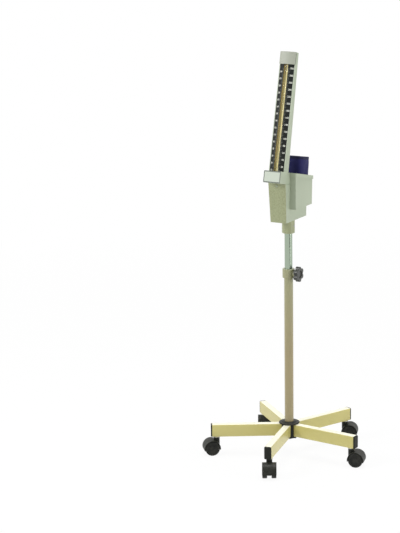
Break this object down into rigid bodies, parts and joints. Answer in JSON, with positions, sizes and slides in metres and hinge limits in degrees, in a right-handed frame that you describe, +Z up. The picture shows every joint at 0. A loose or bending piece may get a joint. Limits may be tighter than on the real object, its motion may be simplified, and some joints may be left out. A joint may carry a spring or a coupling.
{
  "type": "mercury sphygmomanometer on a mobile stand",
  "caption": "Upright mercury blood-pressure gauge with a leaning scale column and cuff bin, on a height-adjustable post with castered legs.",
  "frame": {"origin": "on the floor, on the axis of the post", "axes": "+Z up along the post; the scale faces -Y; +X is to the right of someone who reads the scale"},
  "size_m": [0.4735, 0.4708, 1.157],
  "materials": {
    "black_plastic": "satin moulded nylon",
    "wheel_plastic": "satin nylon tread",
    "steel": "zinc-plated",
    "chrome": "bright chrome plate",
    "nylon": "natural nylon",
    "leg_paint": "gloss cream paint",
    "beige_paint": "gloss beige paint",
    "case_paint": "satin grey-green paint",
    "hammered_paint": "hammered green paint",
    "plain_plate": "satin, bare",
    "scale_black": "black with white marks",
    "strip": "ochre paint",
    "glass": "clear",
    "mercury": "liquid metal",
    "rubber": "matte",
    "fabric": "navy woven nylon"
  },
  "bodies": {
    "base": {"hub": "black_plastic", "hub_cover": "black_plastic", "hub_bolt": "steel", "leg_1": "leg_paint", "leg_2": "leg_paint", "leg_3": "leg_paint", "leg_4": "leg_paint", "leg_5": "leg_paint", "leg_end_caps": "black_plastic", "leg_screws": "steel", "caster_sockets": "nylon", "outer_post": "beige_paint", "clamp_collar": "beige_paint", "collar_bush": "nylon"},
    "knob": {"clamp_knob": "black_plastic", "clamp_screw": "steel"},
    "mast": {"inner_post": "chrome", "post_guide": "nylon"},
    "head": {"socket_tube": "beige_paint", "socket_screw": "steel", "case_body": "case_paint", "front_cover": "hammered_paint", "nameplate_block": "case_paint", "nameplate": "plain_plate", "column": "case_paint", "column_cap": "case_paint", "scale_plate_left": "scale_black", "scale_plate_right": "scale_black", "tube_backing": "strip", "glass_tube": "glass", "mercury": "mercury", "reservoir": "steel", "reservoir_cap": "steel", "air_hose": "rubber", "hose_nozzle": "chrome", "top_vent": "steel", "tube_seals": "rubber", "basket": "case_paint", "case_screws": "steel"},
    "cuff": {"cuff": "fabric"},
    "caster_1": {"caster_1_hood": "black_plastic", "caster_1_pins": "steel"},
    "wheel_1_left": {"caster_1_wheel_left": "wheel_plastic"},
    "wheel_1_right": {"caster_1_wheel_right": "wheel_plastic"},
    "caster_2": {"caster_2_hood": "black_plastic", "caster_2_pins": "steel"},
    "wheel_2_left": {"caster_2_wheel_left": "wheel_plastic"},
    "wheel_2_right": {"caster_2_wheel_right": "wheel_plastic"},
    "caster_3": {"caster_3_hood": "black_plastic", "caster_3_pins": "steel"},
    "wheel_3_left": {"caster_3_wheel_left": "wheel_plastic"},
    "wheel_3_right": {"caster_3_wheel_right": "wheel_plastic"},
    "caster_4": {"caster_4_hood": "black_plastic", "caster_4_pins": "steel"},
    "wheel_4_left": {"caster_4_wheel_left": "wheel_plastic"},
    "wheel_4_right": {"caster_4_wheel_right": "wheel_plastic"},
    "caster_5": {"caster_5_hood": "black_plastic", "caster_5_pins": "steel"},
    "wheel_5_left": {"caster_5_wheel_left": "wheel_plastic"},
    "wheel_5_right": {"caster_5_wheel_right": "wheel_plastic"}
  },
  "joints": [
    {"name": "knob_turn", "type": "hinge", "parent": "base", "child": "knob", "pos_m": [0.022, 0, 0.5315], "axis": [1, 0, 0], "range_deg": [0, 540]},
    {"name": "post_height", "type": "slide", "parent": "base", "child": "mast", "axis": [0, 0, 1], "range_m": [-0.098, 0.22]},
    {"name": "head_swivel", "type": "hinge", "parent": "mast", "child": "head", "pos_m": [0, 0, 0.681], "axis": [0, 0, 1], "continuous": true},
    {"name": "cuff_lift", "type": "slide", "parent": "head", "child": "cuff", "axis": [0, 0, 1], "range_m": [0, 0.15]},
    {"name": "caster_1_swivel", "type": "hinge", "parent": "base", "child": "caster_1", "pos_m": [0.20786, -0.02185, 0.05], "axis": [0, 0, 1], "continuous": true},
    {"name": "wheel_1_left_spin", "type": "hinge", "parent": "caster_1", "child": "wheel_1_left", "pos_m": [0.22241, -0.01822, 0.021], "axis": [-0.2419, 0.9703, 0], "continuous": true},
    {"name": "wheel_1_right_spin", "type": "hinge", "parent": "caster_1", "child": "wheel_1_right", "pos_m": [0.22241, -0.01822, 0.021], "axis": [-0.2419, 0.9703, 0], "continuous": true},
    {"name": "caster_2_swivel", "type": "hinge", "parent": "base", "child": "caster_2", "pos_m": [0.08501, 0.19093, 0.05], "axis": [0, 0, 1], "continuous": true},
    {"name": "wheel_2_left_spin", "type": "hinge", "parent": "caster_2", "child": "wheel_2_left", "pos_m": [0.0991, 0.19606, 0.021], "axis": [-0.342, 0.9397, 0], "continuous": true},
    {"name": "wheel_2_right_spin", "type": "hinge", "parent": "caster_2", "child": "wheel_2_right", "pos_m": [0.0991, 0.19606, 0.021], "axis": [-0.342, 0.9397, 0], "continuous": true},
    {"name": "caster_3_swivel", "type": "hinge", "parent": "base", "child": "caster_3", "pos_m": [-0.15532, 0.13985, 0.05], "axis": [0, 0, 1], "continuous": true},
    {"name": "wheel_3_left_spin", "type": "hinge", "parent": "caster_3", "child": "wheel_3_left", "pos_m": [-0.16236, 0.15309, 0.021], "axis": [-0.8829, -0.4695, 0], "continuous": true},
    {"name": "wheel_3_right_spin", "type": "hinge", "parent": "caster_3", "child": "wheel_3_right", "pos_m": [-0.16236, 0.15309, 0.021], "axis": [-0.8829, -0.4695, 0], "continuous": true},
    {"name": "caster_4_swivel", "type": "hinge", "parent": "base", "child": "caster_4", "pos_m": [-0.181, -0.1045, 0.05], "axis": [0, 0, 1], "continuous": true},
    {"name": "wheel_4_left_spin", "type": "hinge", "parent": "caster_4", "child": "wheel_4_left", "pos_m": [-0.19249, -0.11414, 0.021], "axis": [0.6428, -0.766, 0], "continuous": true},
    {"name": "wheel_4_right_spin", "type": "hinge", "parent": "caster_4", "child": "wheel_4_right", "pos_m": [-0.19249, -0.11414, 0.021], "axis": [0.6428, -0.766, 0], "continuous": true},
    {"name": "caster_5_swivel", "type": "hinge", "parent": "base", "child": "caster_5", "pos_m": [0.04345, -0.20443, 0.05], "axis": [0, 0, 1], "continuous": true},
    {"name": "wheel_5_left_spin", "type": "hinge", "parent": "caster_5", "child": "wheel_5_left", "pos_m": [0.0505, -0.21768, 0.021], "axis": [0.8829, 0.4695, 0], "continuous": true},
    {"name": "wheel_5_right_spin", "type": "hinge", "parent": "caster_5", "child": "wheel_5_right", "pos_m": [0.0505, -0.21768, 0.021], "axis": [0.8829, 0.4695, 0], "continuous": true}
  ]
}
